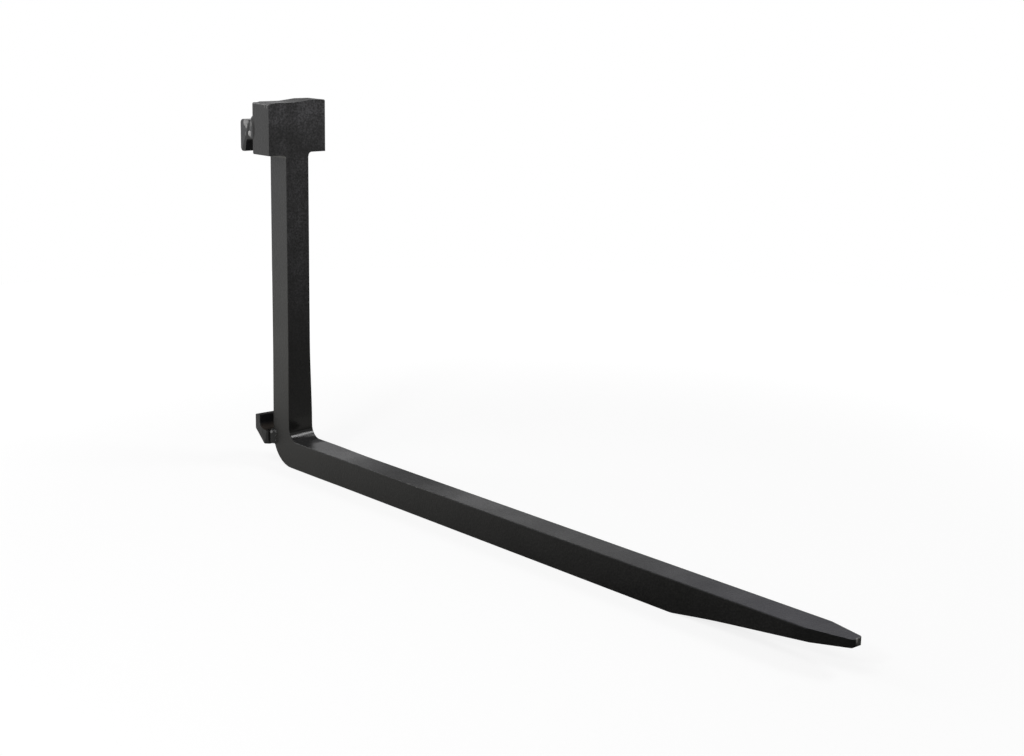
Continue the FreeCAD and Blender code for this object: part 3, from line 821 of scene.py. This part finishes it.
def fillet_bead(name, length, first_leg, second_leg, run_off=0.0):
    """Rippled fillet bead along X, with its root on the X axis and its legs along Y and Z.

    With a run-off its far end goes on as a rounded lump, otherwise it is cut square."""
    mean_leg = (first_leg + second_leg) / 2
    height = math.sqrt(0.5) + BEAD_CROWN
    width = math.sqrt(0.5 / (1 - 0.5 / height ** 2))
    bead = row_of_eggs(
        (length + run_off) / mean_leg, RIPPLE_PITCH / mean_leg,
        (RIPPLE_REACH / mean_leg, width, height), FILLET_ROLL)
    bead.name = name
    shift(bead, (mean_leg, first_leg, second_leg), (0, 0, 0))
    one_skin(bead, FILLET_UNEVENNESS)
    trim(bead, (0, 0, 0), (0, 1, 0))
    trim(bead, (0, 0, 0), (0, 0, 1))
    trim(bead, (0, 0, 0), (1, 0, 0))
    if not run_off:
        trim(bead, (length, 0, 0), (-1, 0, 0))
    return bead


def finish_bead(bead, node, paint):
    select_only(bead)
    bpy.ops.object.shade_smooth()
    bead.data.materials.clear()
    bead.data.materials.append(paint)
    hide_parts(node)
    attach(bead, BODY)


X, Y, Z = Vector((1, 0, 0)), Vector((0, 1, 0)), Vector((0, 0, 1))


def top_bead(paint):
    """Fillet along the top of the upper hook."""
    low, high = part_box("upper_hook_top_weld")
    bead = fillet_bead("top_weld_bead", high.x - low.x, TOP_BEAD_LEG, TOP_BEAD_LEG)
    settle(bead, low, X, Y)
    finish_bead(bead, "upper_hook_top_weld", paint)


def bottom_bead(paint):
    """Fillet under the lower hook, on the outside of the bend."""
    low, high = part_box("lower_hook_bottom_weld")
    bead = fillet_bead("lower_bottom_weld_bead", high.x - low.x, high.z - low.z, high.y - low.y)
    settle(bead, Vector((low.x, low.y, high.z)), X, -Z)
    finish_bead(bead, "lower_hook_bottom_weld", paint)


def side_bead(side, paint):
    """Upright fillet between the shank and the lower hook, welded from below."""
    node = "lower_hook_" + side + "_weld"
    low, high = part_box(node)
    on_hook = high.x - low.x
    length = high.z - low.z
    name = "lower_" + side + "_weld_bead"
    if side == "left":
        bead = fillet_bead(name, length, on_hook, SIDE_BEAD_ON_SHANK, SIDE_BEAD_RUN_OFF)
        settle(bead, Vector((high.x, high.y, low.z)), Z, -X)
    else:
        bead = fillet_bead(name, length, SIDE_BEAD_ON_SHANK, on_hook, SIDE_BEAD_RUN_OFF)
        settle(bead, Vector((low.x, high.y, low.z)), Z, -Y)
    finish_bead(bead, node, paint)


def node_copy(node):
    """New object with a CAD node's surface, its triangles joined up."""
    copy = bpy.data.objects.new(node + " core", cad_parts[node].data.copy())
    bpy.context.scene.collection.objects.link(copy)
    edit_mesh(copy)
    bpy.ops.mesh.remove_doubles(threshold=JOINED_WITHIN)
    leave_edit()
    return copy


def weld_pass(low, high, width, height, across):
    """Row of ripples up the left end of the upper hook, standing out of the groove."""
    foot = Vector((PASS_FOOT_X, low.y, low.z))
    over_groove = Vector(OVER_GROOVE).normalized()
    row = row_of_eggs(
        high.z - low.z, END_RIPPLE_PITCH, (END_RIPPLE_REACH, width, height), 0)
    settle(row, foot + over_groove * across, Z, over_groove)
    return row


def end_bead(side, paint):
    """Groove weld on one end of the upper hook: two passes side by side, and a drip at the foot."""
    node = "upper_hook_" + side + "_weld"
    low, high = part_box("upper_hook_left_weld")
    shapes = [node_copy("upper_hook_left_weld")]
    shapes += [weld_pass(low, high, *one_pass) for one_pass in PASSES]
    bpy.ops.object.select_all(action="DESELECT")
    bpy.ops.mesh.primitive_uv_sphere_add(segments=EGG_SIDES, ring_count=EGG_RINGS, radius=1)
    drip = bpy.context.active_object
    shift(drip, DRIP_SIZE, DRIP_PLACE)
    shapes.append(drip)
    bpy.ops.object.select_all(action="DESELECT")
    for shape in shapes:
        shape.select_set(True)
    bpy.context.view_layer.objects.active = shapes[0]
    bpy.ops.object.join()
    bead = shapes[0]
    bead.name = "upper_" + side + "_weld_bead"
    one_skin(bead, END_UNEVENNESS)
    if side == "right":
        shift(bead, (-1, 1, 1), (0, 0, 0))
        edit_mesh(bead)
        bpy.ops.mesh.normals_make_consistent(inside=False)
        leave_edit()
    finish_bead(bead, node, paint)


def place_camera():
    data = bpy.data.cameras.new("camera")
    data.lens = LENS_MM
    data.sensor_width = SENSOR_MM
    data.clip_end = FARTHEST_SEEN
    camera = bpy.data.objects.new("camera", data)
    bpy.context.scene.collection.objects.link(camera)
    heading, dip = math.radians(CAMERA_HEADING), math.radians(CAMERA_DIP)
    level = math.cos(dip)
    ahead = Vector((math.sin(heading) * level, math.cos(heading) * level, -math.sin(dip)))
    turn = ahead.to_track_quat("-Z", "Y") @ Quaternion(Z, math.radians(CAMERA_ROLL))
    camera.rotation_mode = "QUATERNION"
    camera.rotation_quaternion = turn
    camera.location = CAMERA_PLACE
    bpy.context.scene.camera = camera


def softbox(name, place, aim, width, height, radiance):
    data = bpy.data.lights.new(name, "AREA")
    data.shape = "RECTANGLE"
    data.size = width
    data.size_y = height
    data.energy = radiance * math.pi * width * height
    lamp = bpy.data.objects.new(name, data)
    bpy.context.scene.collection.objects.link(lamp)
    lamp.location = place
    lamp.rotation_mode = "QUATERNION"
    lamp.rotation_quaternion = (Vector(aim) - Vector(place)).to_track_quat("-Z", "Y")


def studio_walls():
    """White room, dimmer in front and overhead than at the back."""
    world = bpy.data.worlds.new("studio walls")
    bpy.context.scene.world = world
    world.use_nodes = True
    tree = world.node_tree
    tree.nodes.clear()
    way = add(tree, "ShaderNodeTexCoord").outputs["Generated"]
    axes = feed(tree, add(tree, "ShaderNodeSeparateXYZ"), Vector=way).outputs
    wall = remap(tree, axes["Y"], *WALL_RISE, *WALL_LIGHT)
    upper = remap(tree, axes["Z"], *CEILING_RISE, *CEILING_SHARE)
    light = maths(tree, "MULTIPLY", wall, upper)
    rays = add(tree, "ShaderNodeLightPath").outputs
    seen = maths(tree, "MAXIMUM", rays["Is Camera Ray"], rays["Is Transmission Ray"])
    back = add(tree, "ShaderNodeBackground")
    tint = blend_colours(tree, seen, WALL_TINT, WHITE)
    feed(tree, back, Color=tint, Strength=maths(tree, "MAXIMUM", light, seen))
    output = add(tree, "ShaderNodeOutputWorld")
    tree.links.new(back.outputs[0], output.inputs["Surface"])


def lay_floor():
    bpy.ops.object.select_all(action="DESELECT")
    bpy.ops.mesh.primitive_circle_add(
        vertices=FLOOR_SIDES, radius=FLOOR_RADIUS, fill_type="NGON",
        location=(0, (cad_low.y + cad_high.y) / 2, cad_low.z))
    floor = bpy.context.active_object
    floor.name = "studio_floor"
    floor.data.materials.append(floor_paint())
    bpy.ops.object.transform_apply(location=True, rotation=True, scale=True)


def repaint(nodes, paint):
    for name in nodes:
        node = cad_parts[name]
        node.data.materials.clear()
        node.data.materials.append(paint)
        for face in node.data.polygons:
            face.material_index = 0


repaint(["fork_arm"], arm_paint())
repaint(["upper_hook", "lower_hook"], hook_paint())
bead_paint = weld_paint()
top_bead(bead_paint)
bottom_bead(bead_paint)
for side in ("left", "right"):
    side_bead(side, bead_paint)
    end_bead(side, bead_paint)

place_camera()
studio_walls()
lay_floor()
for lamp in SOFTBOXES:
    softbox(*lamp)
bpy.context.scene.view_settings.view_transform = "Standard"
